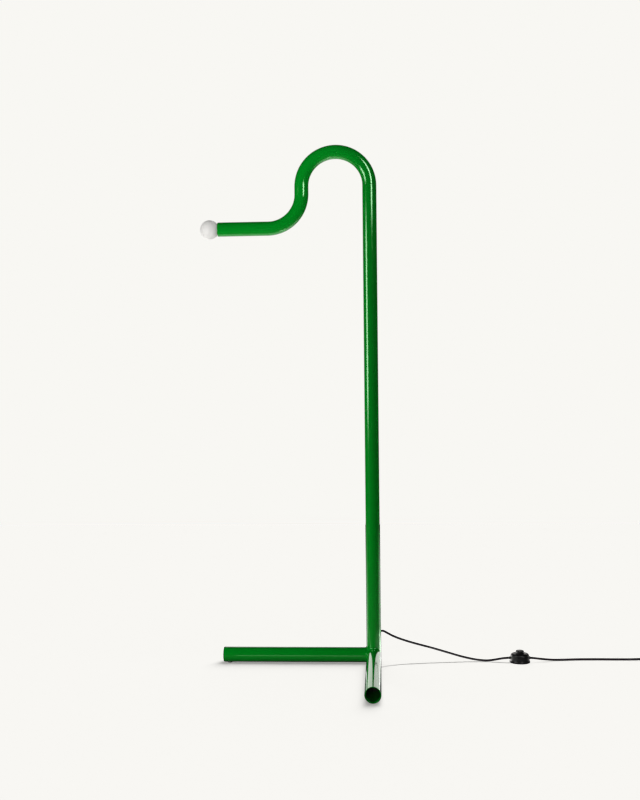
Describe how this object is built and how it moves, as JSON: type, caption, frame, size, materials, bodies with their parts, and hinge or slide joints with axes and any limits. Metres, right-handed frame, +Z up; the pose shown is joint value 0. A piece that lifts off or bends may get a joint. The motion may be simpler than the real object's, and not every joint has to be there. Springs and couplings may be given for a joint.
{
  "type": "adjustable arm floor lamp",
  "caption": "Floor lamp of bent lacquered tube: L-shaped foot, tall column and a swivelling hook arm with an opal globe bulb in its open end, with cord and foot switch.",
  "frame": {"origin": "on the floor, under the column's axis, where the corner pad stands", "axes": "+Z up along the column; -X along the left leg and, at rest, the arm; -Y along the front leg, to the front"},
  "size_m": [1.5566, 0.5236, 1.64],
  "materials": {
    "green_lacquer": "high gloss lacquer on steel tube",
    "opal_glass": "opal white, polished",
    "black_plastic": "moulded, satin",
    "black_cord": "smooth PVC sheath, satin",
    "pad_rubber": "matt",
    "bright_steel": "turned",
    "ballast_steel": "plain rolled bar",
    "brass": "satin",
    "nickel": "nickel plated",
    "bearing_plastic": "plain"
  },
  "bodies": {
    "stand": {"column_tube": "green_lacquer", "left_leg_tube": "green_lacquer", "front_leg_tube": "green_lacquer", "left_ballast_bar": "ballast_steel", "front_ballast_bar": "ballast_steel", "corner_pad": "pad_rubber", "left_pad": "pad_rubber", "front_pad": "pad_rubber", "cable_grommet": "black_plastic", "cord_clamp": "black_plastic", "column_lead": "black_cord", "swivel_bush": "bearing_plastic", "floor_cord": "black_cord", "tail_cord": "black_cord", "plug_cord": "black_cord", "cord_coil": "black_cord", "coil_tie": "black_plastic", "switch_base": "black_plastic", "switch_cover": "black_plastic", "switch_block": "bearing_plastic", "switch_spring": "bright_steel", "switch_relief_in": "black_plastic", "switch_relief_out": "black_plastic", "switch_screw_1": "bright_steel", "switch_screw_2": "bright_steel", "plug_body": "black_plastic", "plug_relief": "black_plastic", "plug_pin_1": "nickel", "plug_pin_2": "nickel", "earth_clip_1": "nickel", "earth_clip_2": "nickel"},
    "arm": {"hook_tube": "green_lacquer", "swivel_spigot": "bright_steel", "stop_pin": "bright_steel", "friction_washer": "brass", "swivel_circlip": "bright_steel", "arm_lead": "black_cord", "lampholder_shell": "black_plastic", "lampholder_cap": "black_plastic", "holder_insert": "bearing_plastic", "thread_shell": "brass", "centre_contact": "brass", "holder_sleeve": "bearing_plastic", "holder_grub_screw": "bright_steel"},
    "bulb": {"bulb_globe": "opal_glass", "bulb_cap": "nickel", "cap_insulator": "black_plastic", "cap_contact": "nickel"},
    "button": {"switch_button": "black_plastic"}
  },
  "joints": [
    {"name": "arm_swivel", "type": "hinge", "parent": "stand", "child": "arm", "pos_m": [0, 0, 1.5095], "axis": [0, 0, 1], "range_deg": [-165, 165]},
    {"name": "bulb_turn", "type": "hinge", "parent": "arm", "child": "bulb", "pos_m": [-0.4846, 0, 1.3775], "axis": [-1, 0, 0], "range_deg": [0, 350]},
    {"name": "button_press", "type": "slide", "parent": "stand", "child": "button", "axis": [0, 0, -1], "range_m": [0, 0.003], "stiffness_N_per_m": 1500, "springref_m": -0.002, "deforming": ["switch_spring"]}
  ]
}
